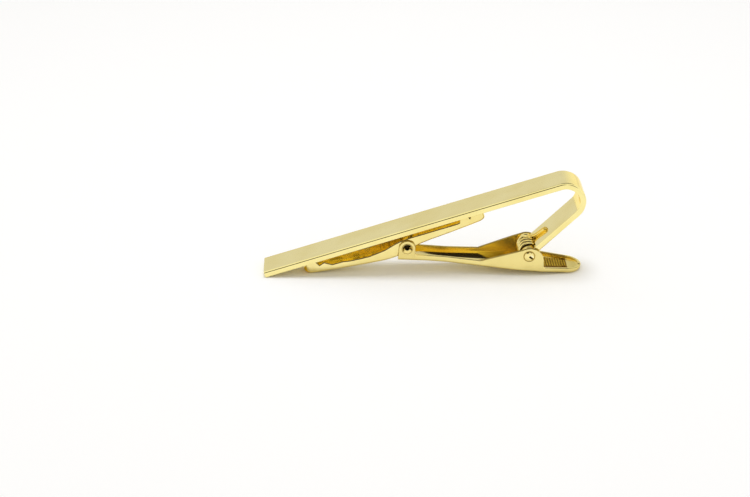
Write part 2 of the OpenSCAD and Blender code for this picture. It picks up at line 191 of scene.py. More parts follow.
# Gold finishes: the plating's colour, a deeper one in its clouds, its roughness, and how far the
# polishing marks are drawn out along X, Y and Z. Past the main golds, most are painted light and shade:
# the spring's dark colour is painted shade with some grime between the turns. The coil's lighter copy,
# the palest lip gold and the lighter near-wall and nose golds are painted light. The orange inside,
# far-wall and jaw-inside golds are painted reflections of the gold walls. The darker back, rib,
# groove, seat, edge, rim and recess golds are painted shade.
finishes = {
    "barGold": {"color": (0.98, 0.86, 0.38), "deep": (0.93, 0.79, 0.31),
                "roughness": 0.10, "grain": (0.3, 6, 6)},
    "leverGold": {"color": (0.88, 0.745, 0.30), "deep": (0.82, 0.66, 0.23),
                  "roughness": 0.12, "grain": (0.4, 5, 5)},
    "jawGold": {"color": (0.96, 0.83, 0.37), "deep": (0.90, 0.74, 0.27),
                "roughness": 0.12, "grain": (0.4, 5, 5)},
    "pinGold": {"color": (0.95, 0.80, 0.33), "deep": (0.86, 0.67, 0.22),
                "roughness": 0.12, "grain": (2, 2, 2)},
    "springGold": {"color": (0.95, 0.74, 0.22), "deep": (0.88, 0.62, 0.12),
                   "roughness": 0.14, "grain": (2, 2, 2), "shadeAndGrime": (0.16, 0.10, 0.015)},
    "litCoilGold": {"color": (1.0, 0.86, 0.36), "deep": (0.97, 0.78, 0.26),
                 "roughness": 0.14, "grain": (2, 2, 2), "shadeAndGrime": (0.2, 0.13, 0.02)},
    "highlightGold": {"color": (1.0, 0.95, 0.62), "deep": (0.98, 0.88, 0.48),
                "roughness": 0.14, "grain": (2, 2, 2)},
    "shadedBackGold": {"color": (0.84, 0.74, 0.36), "deep": (0.78, 0.66, 0.29),
                 "roughness": 0.26, "grain": (0.5, 5, 5)},
    "insideReflectionGold": {"color": (1.0, 0.83, 0.28), "deep": (1.0, 0.76, 0.20),
                   "roughness": 0.19, "grain": (0.5, 5, 5)},
    "litNearGold": {"color": (1.0, 0.90, 0.45), "deep": (1.0, 0.86, 0.38),
                 "roughness": 0.2, "grain": (0.5, 5, 5)},
    "farReflectionGold": {"color": (1.0, 0.75, 0.12), "deep": (1.0, 0.68, 0.07),
                "roughness": 0.2, "grain": (0.5, 5, 5), "metallic": 0.75},
    "jawInsideReflection": {"color": (1.0, 0.81, 0.21), "deep": (1.0, 0.74, 0.15),
                  "roughness": 0.24, "grain": (0.5, 5, 5)},
    "litNoseGold": {"color": (1.0, 0.86, 0.27), "deep": (0.98, 0.78, 0.2),
                 "roughness": 0.2, "grain": (2, 2, 2), "metallic": 0.5},
    "deepShadeGold": {"color": (1.0, 0.68, 0.06), "deep": (0.85, 0.5, 0.02),
                "roughness": 0.2, "grain": (4, 4, 4)},
    "grooveShadeGold": {"color": (0.36, 0.18, 0.006), "deep": (0.2, 0.09, 0.003),
                   "roughness": 0.3, "grain": (4, 4, 4)},
    "seatShadeGold": {"color": (0.48, 0.33, 0.07), "deep": (0.36, 0.23, 0.035),
                 "roughness": 0.3, "grain": (4, 4, 4)},
    "edgeShadeGold": {"color": (0.42, 0.29, 0.05), "deep": (0.26, 0.16, 0.02),
                 "roughness": 0.34, "grain": (4, 4, 4)},
    "rimShadeGold": {"color": (0.13, 0.085, 0.016), "deep": (0.08, 0.05, 0.008),
                "roughness": 0.34, "grain": (4, 4, 4)},
    "recessShadeGold": {"color": (0.05, 0.03, 0.006), "deep": (0.02, 0.012, 0.003),
                   "roughness": 0.45, "grain": (4, 4, 4)},
}
polish = {
    "cloudScale": 160, "cloudDetail": 3, "cloudFrom": 0.3, "cloudTo": 0.62,
    "grainScale": 900, "grainDetail": 4,
    "roughnessSwing": 0.05, "bumpStrength": 0.05, "bumpDepth": 0.00001,
    "sheen": (1.0, 0.9, 0.62),
}


def addNoise(tree, place, scale, detail):
    noise = addNode(tree, "ShaderNodeTexNoise")
    noise.inputs["Scale"].default_value = scale
    noise.inputs["Detail"].default_value = detail
    tree.links.new(place, noise.inputs["Vector"])
    return noise.outputs["Fac"]


def makeGold(name):
    look = finishes[name]
    gold = bpy.data.materials.new(name)
    gold.use_nodes = True
    tree = gold.node_tree
    link = tree.links.new
    shader = tree.nodes["Principled BSDF"]
    shader.inputs["Metallic"].default_value = look.get("metallic", 1)
    shader.inputs["Specular Tint"].default_value = (*polish["sheen"], 1)
    place = addNode(tree, "ShaderNodeTexCoord").outputs["Object"]
    # broad, faint clouds in the plating's colour
    tint = addNode(tree, "ShaderNodeValToRGB")
    deep, clear = tint.color_ramp.elements
    deep.position, clear.position = polish["cloudFrom"], polish["cloudTo"]
    deep.color, clear.color = (*look["deep"], 1), (*look["color"], 1)
    link(addNoise(tree, place, polish["cloudScale"], polish["cloudDetail"]), tint.inputs["Fac"])
    plating = tint.outputs["Color"]
    if "shadeAndGrime" in look:
        # painted shade, with some grime, darkens the wire between the turns, as deep as the piece's own
        # attribute says
        shadeAndGrimeMask = addNode(tree, "ShaderNodeAttribute", attribute_name="shadeAndGrimeDepth")
        shadeAndGrimeMix = addNode(tree, "ShaderNodeMix", data_type="RGBA")
        shadeAndGrimeMix.inputs["B"].default_value = (*look["shadeAndGrime"], 1)
        link(shadeAndGrimeMask.outputs["Fac"], shadeAndGrimeMix.inputs["Factor"])
        link(plating, shadeAndGrimeMix.inputs["A"])
        plating = shadeAndGrimeMix.outputs["Result"]
    link(plating, shader.inputs["Base Color"])
    # fine marks of the polishing wheel, drawn out along the piece
    stretch = addNode(tree, "ShaderNodeMapping")
    stretch.inputs["Scale"].default_value = look["grain"]
    link(place, stretch.inputs["Vector"])
    grain = addNoise(tree, stretch.outputs["Vector"], polish["grainScale"], polish["grainDetail"])
    gloss = addNode(tree, "ShaderNodeMapRange")
    gloss.inputs["To Min"].default_value = look["roughness"] - polish["roughnessSwing"]
    gloss.inputs["To Max"].default_value = look["roughness"] + polish["roughnessSwing"]
    link(grain, gloss.inputs["Value"])
    link(gloss.outputs["Result"], shader.inputs["Roughness"])
    bump = addNode(tree, "ShaderNodeBump")
    bump.inputs["Strength"].default_value = polish["bumpStrength"]
    bump.inputs["Distance"].default_value = polish["bumpDepth"]
    link(grain, bump.inputs["Height"])
    link(bump.outputs["Normal"], shader.inputs["Normal"])
    return gold


golds = {name: makeGold(name) for name in finishes}

# The bench: pieces are shaped in millimetres, counted from a pin, and seated in the frame at the end.
# A point within near of a place counts as there, and same is closer still. A face counts as facing
# squarely or roughly above those cosines. Folds over the crease angle, in degrees, are rounded.
bench = {
    "mm": 0.001, "barSlope": 17.3, "leverTilt": 5.3385,
    "near": 0.01, "same": 0.0001, "weld": 0.0005, "squarely": 0.99, "roughly": 0.9,
    "crease": 50, "spinSteps": 96,
}
near, same = bench["near"], bench["same"]
squarely, roughly = bench["squarely"], bench["roughly"]
pinPlaces = {joint["name"]: Vector(joint["pos_m"]) for joint in frame["joints"]}


def release():
    if bpy.context.object and bpy.context.object.mode != "OBJECT":
        bpy.ops.object.mode_set(mode="OBJECT")
    bpy.ops.object.select_all(action="DESELECT")


def useAlone(piece):
    release()
    piece.select_set(True)
    bpy.context.view_layer.objects.active = piece


def settle():
    bpy.ops.object.transform_apply(location=True, rotation=True, scale=True)


def addBox(size, place, turn=(0, 0, 0)):
    release()
    bpy.ops.mesh.primitive_cube_add(size=1, location=place, rotation=turn, scale=size)
    return bpy.context.object


def addCylinder(sides, radius, length, place, turn=(pi / 2, 0, 0)):
    release()
    bpy.ops.mesh.primitive_cylinder_add(
        vertices=sides, radius=radius, depth=length, location=place, rotation=turn)
    return bpy.context.object


def openShape(name):
    piece = bpy.context.object
    piece.name = name
    settle()
    bpy.ops.object.mode_set(mode="EDIT")
    return piece


def closeShape():
    bpy.ops.object.mode_set(mode="OBJECT")


def pickAll():
    bpy.ops.mesh.select_all(action="SELECT")


def pick(kind, test):
    bpy.ops.mesh.select_mode(type=kind)
    bpy.ops.mesh.select_all(action="DESELECT")
    shape = bmesh.from_edit_mesh(bpy.context.edit_object.data)
    if kind == "FACE":
        found = [face for face in shape.faces if test(face.calc_center_median(), face.normal)]
    elif kind == "EDGE":
        found = [edge for edge in shape.edges if all(test(corner.co) for corner in edge.verts)]
    else:
        found = [corner for corner in shape.verts if test(corner.co)]
    for part in found:
        part.select_set(True)
    shape.select_flush_mode()
    bmesh.update_edit_mesh(bpy.context.edit_object.data)


def pull(offset):
    bpy.ops.mesh.extrude_region_move(TRANSFORM_OT_translate={"value": offset})


def soften(width, segments):
    bpy.ops.mesh.bevel(offset=width, segments=segments, affect="EDGES", clamp_overlap=True)


def applyIt(modifier):
    bpy.ops.object.modifier_apply(modifier=modifier.name)


def cutWith(piece, tool):
    useAlone(piece)
    cut = piece.modifiers.new("cut", "BOOLEAN")
    cut.operation = "DIFFERENCE"
    cut.solver = "EXACT"
    cut.object = tool
    applyIt(cut)
    bpy.data.objects.remove(tool, do_unlink=True)


def joinAll(pieces, name):
    release()
    for piece in pieces:
        piece.select_set(True)
    bpy.context.view_layer.objects.active = pieces[0]
    bpy.ops.object.join()
    pieces[0].name = name
    return pieces[0]


def paint(piece, finish, test):
    if not piece.data.materials:
        piece.data.materials.append(None)
    piece.data.materials.append(golds[finish])
    slot = len(piece.data.materials) - 1
    for face in piece.data.polygons:
        if test(face.center, face.normal):
            face.material_index = slot


def turnedBy(place, angle):
    x, z = place
    return (x * cos(angle) - z * sin(angle), x * sin(angle) + z * cos(angle))


def fromAxis(at, centre=(0, 0)):
    return Vector((at.x - centre[0], at.z - centre[1])).length


# scales the piece to metres, turns it about its pin and moves it there, and gives it its main finish
def seat(piece, joint, tilt, finish, smoothAngle):
    useAlone(piece)
    mm = bench["mm"]
    piece.scale = (mm, mm, mm)
    piece.rotation_euler = (0, radians(tilt), 0)
    piece.location = pinPlaces[joint]
    settle()
    bpy.ops.object.shade_smooth_by_angle(angle=radians(smoothAngle))
    flat = piece.modifiers.new("flat", "WEIGHTED_NORMAL")
    flat.keep_sharp = True
    applyIt(flat)
    piece.data.materials[0] = golds[finish]
    release()


# Front bar: one strip, rolled round in a hook, with a return leg and two knuckles
bar = {
    "length": 52.9, "width": 6.0, "thickness": 1.05,
    "faceRound": 0.34, "backRound": 0.07, "tipRound": 0.1,
    "hookRadius": 2.5, "hookSteps": 56, "legAngle": 27.0, "legLength": 11.0, "legOffset": 0.2,
    "knuckleRadius": 1.4, "knuckleRound": 0.1, "coilRoom": 4.43, "coilReach": 1.95,
    "legEndRoom": 0.5, "tabGap": 0.3,
    "springHole": 0.4, "springHoleAt": (4.4, 0.27), "springHoleLength": 4,
    "knuckleSkin": 0.02, "knuckleEdge": 0.05,
}


def makeFrontBar():
    turn = radians(bar["legAngle"])
    legInner = bar["legOffset"] - bar["thickness"] / 2
    hookX, hookZ = turnedBy((bar["legLength"], bar["hookRadius"] - legInner), turn)
    bottom = hookZ + bar["hookRadius"]
    top = bottom + bar["thickness"]
    half = bar["width"] / 2
    addBox((bar["length"], bar["width"], bar["thickness"]),
           (hookX - bar["length"] / 2, 0, bottom + bar["thickness"] / 2))
    strip = openShape("frontBar")
    for side in (1, -1):
        pick("EDGE", lambda at: at.z > top - near and side * at.y > half - near)
        soften(bar["faceRound"], 8)
    for side in (1, -1):
        pick("EDGE", lambda at: at.z < bottom + near and side * at.y > half - near)
        soften(bar["backRound"], 3)
    pick("FACE", lambda at, normal: normal.x < -squarely)
    soften(bar["tipRound"], 3)
    # the other end is rolled round the hook, and drawn out in the leg
    pick("FACE", lambda at, normal: normal.x > squarely)
    bpy.ops.mesh.spin(steps=bar["hookSteps"], angle=pi - turn, center=(hookX, 0, hookZ), axis=(0, -1, 0))
    run = Vector((-cos(turn), 0, -sin(turn)))
    pull(run * (bar["legLength"] - bar["coilReach"]))
    # a tab on each side goes on past the coil to its knuckle
    legEnd = bar["coilReach"] + bar["legEndRoom"]
    tabFrom = bar["coilRoom"] / 2
    for side in (-1, 1):
        pick("FACE", lambda at, normal: normal.dot(run) > squarely and at.x < legEnd)
        bpy.ops.mesh.bisect(plane_co=(0, side * tabFrom, 0), plane_no=(0, 1, 0))
    pick("FACE", lambda at, normal: normal.dot(run) > squarely and at.x < legEnd and abs(at.y) > tabFrom)
    pull(run * (bar["coilReach"] - bar["tabGap"]))
    closeShape()
    parts = [strip]
    knuckleWidth = half - tabFrom
    for side in (-1, 1):
        addCylinder(72, bar["knuckleRadius"], knuckleWidth, (0, side * (half - knuckleWidth / 2), 0))
        parts.append(openShape("knuckle"))
        pick("FACE", lambda at, normal: abs(normal.y) > squarely)
        soften(bar["knuckleRound"], 3)
        closeShape()
    strip = joinAll(parts, "frontBar")
    along, across = bar["springHoleAt"]
    hole = addCylinder(40, bar["springHole"], bar["springHoleLength"],
                       (along * cos(turn), across, along * sin(turn)), (0, -turn, 0))
    cutWith(strip, hole)
    legBack = Vector((-run.z, 0, run.x))
    # the back of the return leg is painted a darker, rougher gold: painted shade
    paint(strip, "shadedBackGold", lambda at, normal: normal.dot(run) < 0.1 and normal.dot(legBack) > 0.95
          and abs(at.y) < half and at.x > bar["coilReach"])
    # the knuckles are painted a deeper orange gold: painted reflection of the gold round them
    paint(strip, "insideReflectionGold", lambda at, normal: fromAxis(at) < bar["knuckleRadius"] + bar["knuckleSkin"]
          and abs(at.y) < half - bar["knuckleEdge"])
    seat(strip, "lever_hinge", -bench["barSlope"], "barGold", 30)
    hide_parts("front_bar")
    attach(strip, "bar_body")


makeFrontBar()
print("front bar done")

# Spring: a coil round the hinge pin, one arm along the return leg, the other on the lever's floor.
# The arm on the leg is a little flattened, so it swells, and its tip turns in through the leg's hole.
spring = {
    "wire": 0.28, "wireRounds": 6, "radius": 1.5, "pitch": 0.98, "wholeTurns": 3, "set": 0.22,
    "stepsPerTurn": 40, "floorArm": 2.4, "floorDepth": 2.42, "floorGap": 0.02, "floorSteps": 6,
    "legArm": 4.4, "bedded": 0.04, "armPlace": 0.0, "bendPlace": 0.45, "bendShare": 0.52,
    "bendFrom": 0.35, "bendTo": 0.3, "bendSteps": 12, "armSteps": (8, 6),
    "tipRadius": 0.3, "tipSteps": 6, "tipLength": 0.9,
    "armSwell": 0.3, "swellSteps": 14, "tipSwell": (0.3, 0.1), "endRadii": (0.7, 0.6),
    "shadeAndGrimeFrom": 0.55, "shadeAndGrimeGain": 1.6, "coilSkin": 0.06,
    "blendFrom": 1.0, "blendTo": 2.3,
}


def inSpace(flat, y=0):
    return Vector((flat[0], y, flat[1]))


def between(start, end, steps, skipped=0):
    return [start.lerp(end, i / steps) for i in range(skipped, steps)]


# the wire's way from the floor of the lever to its tip, in four parts
def springRoute(run, outward):
    radius = spring["radius"]
    offset = bar["legOffset"] - bar["thickness"] / 2 - spring["wire"] + spring["bedded"]
    bend = run * spring["legArm"] * spring["bendShare"] + outward * offset
    tip = run * spring["legArm"] + outward * offset
    floor = Vector(turnedBy((spring["floorArm"], spring["wire"] + spring["floorGap"] - spring["floorDepth"]),
                            -radians(bench["leverTilt"])))
    leave = atan2(bend.y, bend.x) + acos(radius / bend.length)
    enter = atan2(floor.y, floor.x) - acos(radius / floor.length)
    sweep = (enter - leave) % (2 * pi) + 2 * pi * spring["wholeTurns"]
    width = spring["pitch"] * sweep / (2 * pi)
    start = -width / 2 - spring["set"]
    steps = int(sweep / (2 * pi) * spring["stepsPerTurn"])
    coil = []
    for i in range(steps + 1):
        angle = enter - sweep * i / steps
        coil.append(Vector((radius * cos(angle), start + width * i / steps, radius * sin(angle))))
    floorRun = between(inSpace(floor, start), coil[0], spring["floorSteps"])
    bendAt, tipAt = inSpace(bend, spring["bendPlace"]), inSpace(tip, spring["armPlace"])
    before = bendAt.lerp(coil[-1], spring["bendFrom"])
    after = bendAt.lerp(tipAt, spring["bendTo"])
    arm = between(coil[-1], before, spring["armSteps"][0], 1)
    for i in range(spring["bendSteps"] + 1):
        share = i / spring["bendSteps"]
        arm.append(before.lerp(bendAt, share).lerp(bendAt.lerp(after, share), share))
    arm += between(after, tipAt, spring["armSteps"][1], 1) + [tipAt]
    turnIn = []
    for i in range(1, spring["tipSteps"] + 1):
        angle = pi / 2 * i / spring["tipSteps"]
        turnIn.append(tipAt + inSpace(run) * (spring["tipRadius"] * sin(angle))
                      + inSpace(outward) * (spring["tipRadius"] * (1 - cos(angle))))
    turnIn.append(turnIn[-1] + inSpace(outward) * spring["tipLength"])
    return floorRun, coil, arm, turnIn


def makeSpring():
    legTurn = radians(bar["legAngle"] + bench["barSlope"])
    run, outward = Vector((cos(legTurn), sin(legTurn))), Vector((sin(legTurn), -cos(legTurn)))
    floorRun, coil, arm, turnIn = springRoute(run, outward)
    least, step = spring["tipSwell"]
    swell = [0] * (len(floorRun) + len(coil))
    swell += [min(i / spring["swellSteps"], 1) for i in range(len(arm))]
    swell += [least + step * i for i in reversed(range(len(turnIn)))]
    release()
    bpy.ops.curve.primitive_nurbs_path_add()
    wire = bpy.context.object
    wire.data.splines.clear()
    line = wire.data.splines.new("POLY")
    line.points.add(len(swell) - 1)
    for point, at, share in zip(line.points, floorRun + coil + arm + turnIn, swell):
        point.co = (*at, 1)
        point.radius = 1 + spring["armSwell"] * share
    line.points[0].radius, line.points[-1].radius = spring["endRadii"]
    wire.data.dimensions = "3D"
    wire.data.bevel_depth = spring["wire"]
    wire.data.bevel_resolution = spring["wireRounds"]
    wire.data.use_fill_caps = True
    bpy.ops.object.convert(target="MESH")
    wire = bpy.context.object
    wire.name = "coilSpring"
    wire.data.materials.clear()
    # the attribute that the painted shade and grime follow, strongest on the inside of the turns
    shadeAndGrimeDepth = wire.data.attributes.new("shadeAndGrimeDepth", "FLOAT", "POINT")
    shadeFrom = spring["radius"] + spring["shadeAndGrimeFrom"] * spring["wire"]
    for corner, mark in zip(wire.data.vertices, shadeAndGrimeDepth.data):
        depth = (shadeFrom - fromAxis(corner.co)) / spring["wire"]
        mark.value = min(max(depth * spring["shadeAndGrimeGain"], 0), 1)
    # the coil's turns get a lighter copy of the spring's gold than its arms: painted highlight
    coilReach = spring["radius"] + spring["wire"] + spring["coilSkin"]
    paint(wire, "litCoilGold", lambda at, normal: fromAxis(at) < coilReach)
    seat(wire, "lever_hinge", 0, "springGold", 60)
    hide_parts("torsion_spring")
    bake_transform(wire)


makeSpring()
print("spring done")


# Pins: a head is spun from a profile, drawn as radius and height over the ear's face
def spinProfile(name, profile):
    release()
    bpy.ops.mesh.primitive_plane_add(size=1, location=(0, 0, 0))
    head = openShape(name)
    pickAll()
    bpy.ops.mesh.merge(type="CENTER")
    pick("VERT", lambda at: True)
    bpy.ops.transform.translate(value=(profile[0][0], -profile[0][1], 0))
    for last, point in zip(profile, profile[1:]):
        pull((point[0] - last[0], last[1] - point[1], 0))
    pickAll()
    bpy.ops.mesh.spin(steps=bench["spinSteps"], angle=2 * pi, center=(0, 0, 0), axis=(0, 1, 0))
    pickAll()
    bpy.ops.mesh.remove_doubles(threshold=bench["weld"])
    bpy.ops.mesh.normals_make_consistent(inside=False)
    closeShape()
    return head


# the far end of a pin is its near end turned half round, with a mesh of its own
def bothEnds(head, earWidth):
    if not head.data.materials:
        head.data.materials.append(None)
    far = head.copy()
    far.data = head.data.copy()
    bpy.context.collection.objects.link(far)
    for end, angle, side in ((head, 0, -1), (far, pi, 1)):
        useAlone(end)
        end.rotation_euler = (0, 0, angle)
        end.location = (0, side * earWidth / 2, 0)
        settle()
    return [head, far]


# Hinge pin: a low dome with a slot, whose upper lip stands a little proud and is painted the palest gold as
# a highlight
hingePin = {
    "shaft": 0.6, "earWidth": 7.16, "headRadius": 0.83, "seat": 0.2,
    "root": 0.1, "edge": 0.02, "shoulder": 0.05, "dome": 0.18, "domeSteps": 9,
    "slotAngle": 33.0, "slotLength": 1.0, "slotWidth": 0.3, "slotDepth": 0.24, "slotAt": 0.46,
    "lipSize": (0.8, 0.3, 0.3), "lipAt": (0.36, 0.3), "lipSunk": 0.05, "lipRound": 0.13,
    "shaftGap": 0.1, "shaftShadeFrom": 0.2,
}


def headProfile():
    radius, root, edge = (hingePin[key] for key in ("headRadius", "root", "edge"))
    shoulder, dome, steps = (hingePin[key] for key in ("shoulder", "dome", "domeSteps"))
    profile = [(0, -root), (radius - edge, -root), (radius - edge, 0)]
    profile += [(radius, edge), (radius, shoulder - edge)]
    for i in range(steps + 1):
        share = 1 - i / steps
        profile.append((radius * share, shoulder + dome * (1 - share ** 2)))
    return profile


# a place on the head, counted along the slot and beside it
def onHead(along, beside, y):
    turn = radians(hingePin["slotAngle"])
    return (along * cos(turn) + beside * sin(turn), y, beside * cos(turn) - along * sin(turn))


def inPinRecess(at, normal):
    ear = hingePin["earWidth"] / 2
    slotFloor = ear + hingePin["shoulder"] + hingePin["dome"] - hingePin["slotDepth"]
    onFloor = abs(abs(at.y) - slotFloor) < near / 2 and abs(normal.y) > roughly
    return onFloor and fromAxis(at) < hingePin["headRadius"] or abs(at.y) < ear - hingePin["shaftShadeFrom"]


def makeHingePin():
    turn = (0, radians(hingePin["slotAngle"]), 0)
    top = hingePin["shoulder"] + hingePin["dome"]
    head = spinProfile("hingeRivet", headProfile())
    slotSize = (hingePin["slotLength"], 2 * hingePin["slotDepth"], hingePin["slotWidth"])
    cutWith(head, addBox(slotSize, onHead(hingePin["slotAt"], 0, -top), turn))
    addBox(hingePin["lipSize"], onHead(*hingePin["lipAt"], hingePin["lipSunk"] - top), turn)
    lip = openShape("slotLip")
    pickAll()
    soften(hingePin["lipRound"], 1)
    closeShape()
    head.data.materials.append(None)
    # the lip is painted the palest gold: painted highlight
    lip.data.materials.append(golds["highlightGold"])
    head = joinAll([head, lip], "hingeRivet")
    heads = bothEnds(head, hingePin["earWidth"])
    addCylinder(64, hingePin["shaft"], hingePin["earWidth"] - hingePin["shaftGap"], (0, 0, 0))
    shaft = openShape("hingeShaft")
    closeShape()
    pin = joinAll(heads + [shaft], "hingeRivet")
    # the slot's floor and the shaft between the ears are painted near black: painted shade
    paint(pin, "recessShadeGold", inPinRecess)
    seat(pin, "lever_hinge", bench["leverTilt"], "pinGold", 30)
    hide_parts("hinge_pin")
    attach(pin, "lever_body")


makeHingePin()
print("hinge pin done")

# Jaw pin: a hollow rivet, with a flared mouth and its rim rolled over the ear.
# The mouth's two points are counted inwards and down from the crest.
jawPin = {
    "radius": 0.6, "earWidth": 4.56, "shank": 0.82, "shankDepth": 0.45, "neckDepth": 0.5,
    "rimRadius": 0.9, "rimHeight": 0.1, "rimSteps": 5, "rimUnder": 0.02, "crest": 0.83, "seat": 0.07,
    "mouth": ((0.03, 0.04), (0.015, 0.012)), "throat": 0.44, "throatDepth": 0.26, "boreDepth": 0.8,
}


def makeJawPin():
    bore, rim, height, crest = (jawPin[key] for key in ("throat", "rimRadius", "rimHeight", "crest"))
    profile = [(0, -jawPin["boreDepth"]), (bore, -jawPin["boreDepth"]), (bore, -jawPin["throatDepth"])]
    profile += [(crest - inward, height - down) for inward, down in jawPin["mouth"]]
    for i in range(jawPin["rimSteps"] + 1):
        angle = pi / 2 * i / jawPin["rimSteps"]
        profile.append((crest + (rim - crest) * sin(angle), height * cos(angle)))
    profile += [(jawPin["shank"], -jawPin["rimUnder"]), (jawPin["shank"], -jawPin["shankDepth"]),
                (jawPin["radius"], -jawPin["neckDepth"]),
                (jawPin["radius"], jawPin["rimUnder"] - jawPin["earWidth"] / 2)]
    head = spinProfile("jawRivet", profile)
    rivet = joinAll(bothEnds(head, jawPin["earWidth"]), "jawRivet")
    deep = jawPin["earWidth"] / 2 - jawPin["throatDepth"]
    # the rivet's bore is painted near black: painted shade
    paint(rivet, "recessShadeGold", lambda at, normal: abs(at.y) < deep and fromAxis(at) < bore + near)
    seat(rivet, "jaw_hinge", bench["leverTilt"], "pinGold", 40)
    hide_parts("jaw_pin")
    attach(rivet, "lever_body")


makeJawPin()
print("jaw pin done")


# Folded sheet: a channel is drawn as its inside, row by row, and then given its walls and thickness.
# A row has its place x, its half width and middle across, and its floor and rim heights.
def fitRow(row, last):
    bpy.ops.transform.resize(value=(1, row["half"] / last["half"], 1),
                             center_override=(row["x"], row["middle"], row["floor"]))


def drawFloor(name, rows, columns):
    release()
    first, second = rows[0], rows[1]
    bpy.ops.mesh.primitive_grid_add(
        x_subdivisions=1, y_subdivisions=columns, size=1,
        location=((first["x"] + second["x"]) / 2, first["middle"], first["floor"]))
    bpy.context.object.scale = (second["x"] - first["x"], 2 * first["half"], 1)
    channel = openShape(name)
    pick("EDGE", lambda at: at.x > second["x"] - same)
    offset = (0, second["middle"] - first["middle"], second["floor"] - first["floor"])
    bpy.ops.transform.translate(value=offset)
    fitRow(second, first)
    for last, row in zip(rows[1:], rows[2:]):
        pull((row["x"] - last["x"], row["middle"] - last["middle"], row["floor"] - last["floor"]))
        fitRow(row, last)
    return channel


def makeChannel(name, rows, columns, openFront, fold):
    channel = drawFloor(name, rows, columns)
    # the walls stand on the outline, each point as high as the rim is there
    bpy.ops.mesh.select_all(action="DESELECT")
    bpy.ops.mesh.select_mode(type="EDGE")
    shape = bmesh.from_edit_mesh(channel.data)
    for edge in shape.edges:
        atFront = all(abs(corner.co.x - rows[0]["x"]) < same for corner in edge.verts)
        edge.select_set(edge.is_boundary and not (openFront and atFront))
    bmesh.update_edit_mesh(channel.data)
    pull((0, 0, 1))
    shape = bmesh.from_edit_mesh(channel.data)
    for corner in shape.verts:
        if corner.select:
            row = min(rows, key=lambda row: abs(row["x"] - corner.co.x))
            corner.co.z = row["rim"] + (row.get("farRise", 0) if corner.co.y > 0 else 0)
    bpy.ops.mesh.select_all(action="DESELECT")
    for edge in shape.edges:
        if len(edge.link_faces) == 2 and edge.calc_face_angle() > radians(bench["crease"]):
            edge.select_set(True)
    bmesh.update_edit_mesh(channel.data)
    soften(fold, 4)
    pickAll()
    bpy.ops.mesh.normals_make_consistent(inside=False)
    shape = bmesh.from_edit_mesh(channel.data)
    if sum(face.normal.z * face.calc_area() for face in shape.faces) < 0:
        bpy.ops.mesh.flip_normals()
    return channel


# a hole through both walls, and a shallow seat round it in their outer faces where it has one
def drill(piece, place, radius, outerHalf, seatRadius=0, seatDepth=0):
    cuts = [(0, radius, 4 * outerHalf)]
    if seatRadius:
        cuts += [(side * outerHalf, seatRadius, 2 * seatDepth) for side in (-1, 1)]
    for y, size, length in cuts:
        cutWith(piece, addCylinder(72, size, length, (place[0], y, place[1])))


def thicken(channel, sheet, rimRound):
    closeShape()
    useAlone(channel)
    solid = channel.modifiers.new("sheet", "SOLIDIFY")
    solid.thickness = sheet
    solid.offset = -1
    solid.use_even_offset = True
    applyIt(solid)
    rim = channel.modifiers.new("rim", "BEVEL")
    rim.width = rimRound
    rim.segments = 3
    rim.limit_method = "ANGLE"
    rim.angle_limit = radians(bench["crease"])
    applyIt(rim)


# Lever: a stamped channel with front ears, main ears and a ribbed thumb tail, counted from the hinge pin.
# An ear's foot is given as steps back from the ear and up from the wall.
lever = {
    "reach": 20.93, "drop": 0.84, "depth": 2.92, "sheet": 0.5, "fold": 0.16, "rimRound": 0.1, "columns": 16,
    "frontHalf": 2.28, "earHalf": 3.58, "wallFoot": -13.84, "flareEnd": -2.1,
    "frontEar": 1.4, "frontEarSteps": 14, "frontEarFoot": ((0.05, 0.3), (0.14, 0.06), (0.35, 0)),
    "mainEar": 2.38, "mainEarSteps": 24, "mainEarFoot": ((0.05, 0.35), (0.13, 0.08), (0.27, 0)),
    "mainEarCentre": (0.238, -0.99),
    "wallHeight": 1.07, "wallFrom": 1, "wallStep": 0.8, "wallEnd": 0.5, "leastWall": 0.2,
    "knee": -8.1, "kneeSteps": 8, "rimHeight": 0.88,
    "dipStart": -17.58, "dip": 0.2, "floorSetback": 0.64, "floorCut": 1.4,
    "dishFrom": -18.0, "dishTo": -3.5, "dish": 0.3, "dishMiddle": -0.25, "dishEdge": 0.97,
    "dishEnds": 0.5, "dishSides": 1.35,
    "tailRadius": 2.8, "tailAt": 6.8, "tailSet": 0.3, "flatEnd": 7.6,
    "noseRadius": 5.848, "noseFrom": 9, "noseSweep": 75, "noseSteps": 11,
    "seatDepth": 0.06,
}
ribs = {
    "count": 9, "from": 3.0, "to": 7.0, "height": 0.12, "share": 0.62, "edges": (0.2, 0.8),
    "reach": 0.02, "taper": (0.5, 0.95, 1), "inset": 0.018,
    "panelFrom": 0.4, "panelTo": 0.1, "panelMiddle": -0.2, "panelHeight": 0.3,
}
# where the lever's finishes, and the light and shade painted on it, change
leverPaint = {
    "insideSkin": 0.05, "insideTop": 3, "rimFrom": -1.75, "hingeRoom": (1.4, 0.9), "jawRoom": 1.2,
    "noseTop": 0.9, "foldFrom": (2.7, 1.6), "foldFacing": (0.25, 0.97),
}
leverTop = lever["sheet"] - lever["depth"]
leverJawAt = (-lever["reach"], -lever["drop"])
panelEnd = ribs["to"] + ribs["panelTo"]


